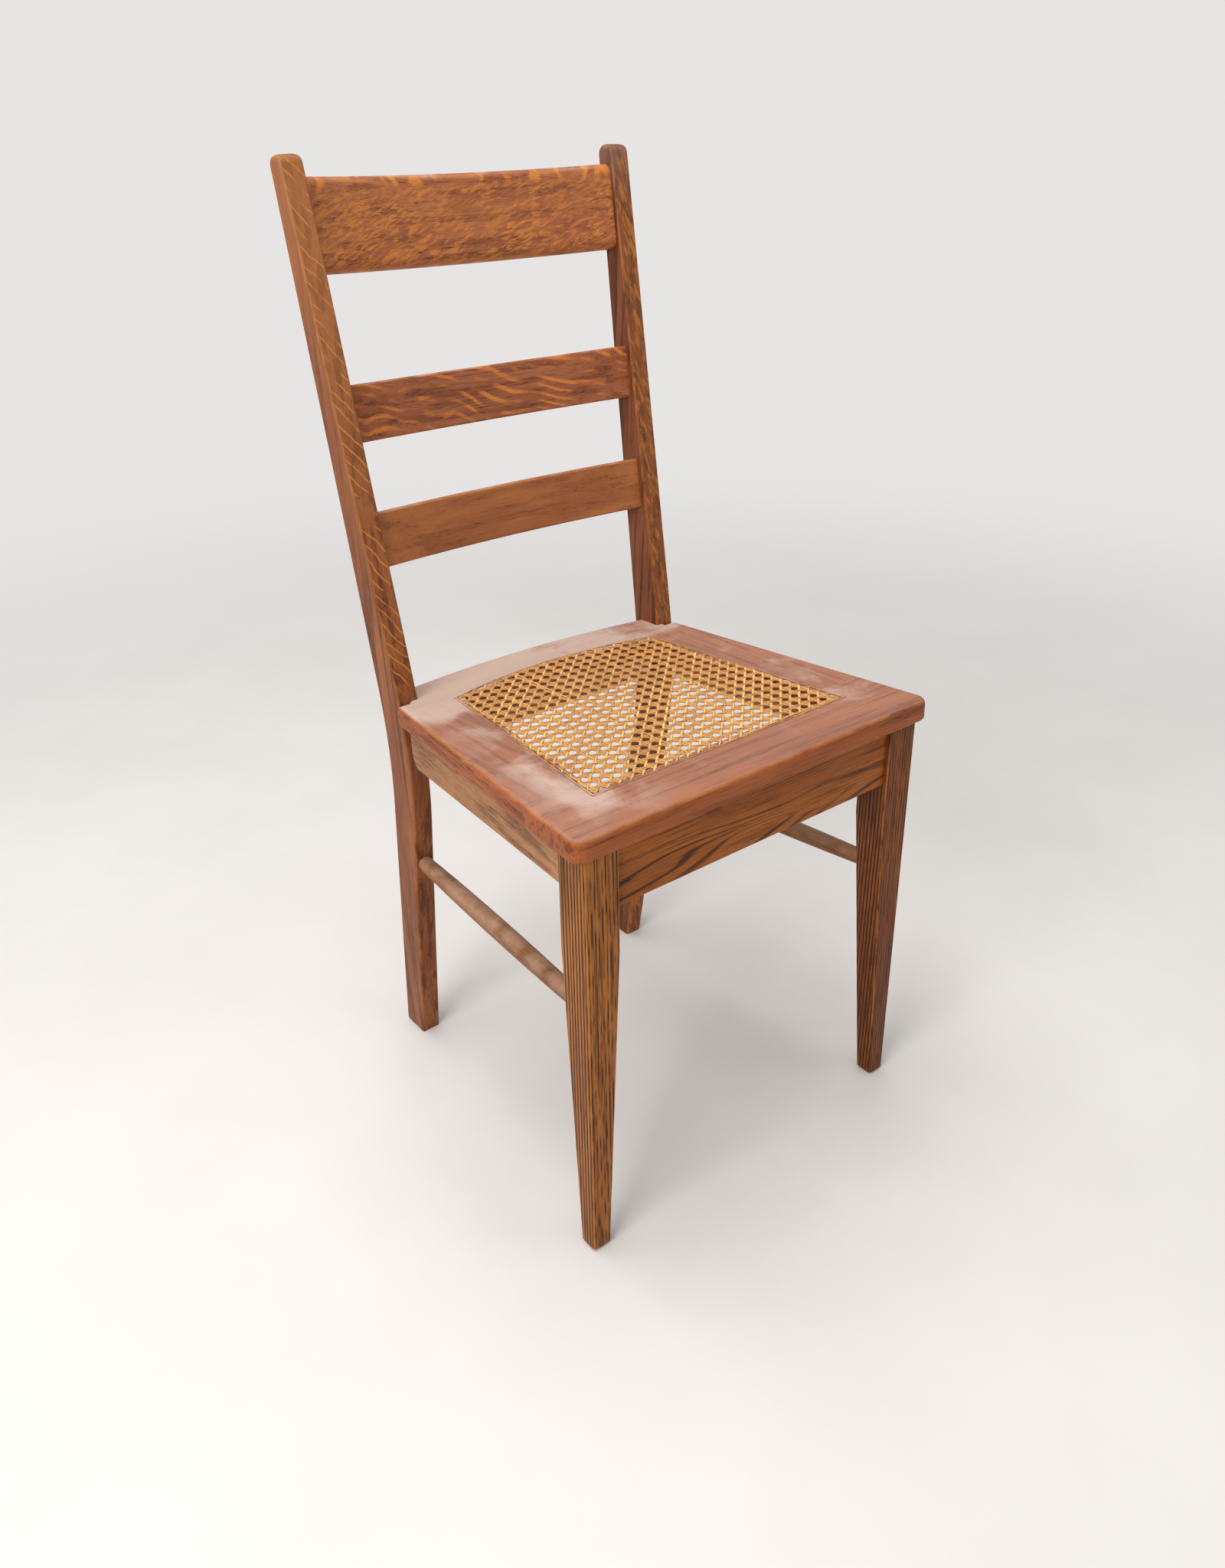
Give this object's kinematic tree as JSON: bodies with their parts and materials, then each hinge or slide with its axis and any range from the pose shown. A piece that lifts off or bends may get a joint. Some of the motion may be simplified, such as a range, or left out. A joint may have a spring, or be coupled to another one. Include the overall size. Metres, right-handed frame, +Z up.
{
  "type": "cane seat dining chair",
  "caption": "Wooden dining chair with sabre back posts, bent crest rail and slats, tapered front legs, turned side stretchers and a framed woven cane seat",
  "frame": {"origin": "on the floor, under the centre of the bounding box", "axes": "+Z up, the chair faces -Y, +X is to the right of someone looking at its front"},
  "size_m": [0.4232, 0.4681, 0.9264],
  "materials": {
    "stained_oak": "worn reddish brown stain and varnish on quarter-sawn oak",
    "bare_oak": "unfinished",
    "cane": "varnished woven cane",
    "reed": "varnished reed"
  },
  "bodies": {
    "root": {"left_back_post": "stained_oak", "right_back_post": "stained_oak", "crest_rail": "stained_oak", "upper_slat": "stained_oak", "lower_slat": "stained_oak", "left_front_leg": "stained_oak", "right_front_leg": "stained_oak", "front_apron": "stained_oak", "left_apron": "stained_oak", "right_apron": "stained_oak", "back_apron": "stained_oak", "left_stretcher": "stained_oak", "right_stretcher": "stained_oak", "seat_front_board": "stained_oak", "seat_left_board": "stained_oak", "seat_right_board": "stained_oak", "seat_back_board": "stained_oak", "seat_dowels": "bare_oak", "left_corner_block": "bare_oak", "right_corner_block": "bare_oak", "cane_panel": "cane", "front_spline": "reed", "back_spline": "reed", "left_spline": "reed", "right_spline": "reed"}
  },
  "joints": []
}
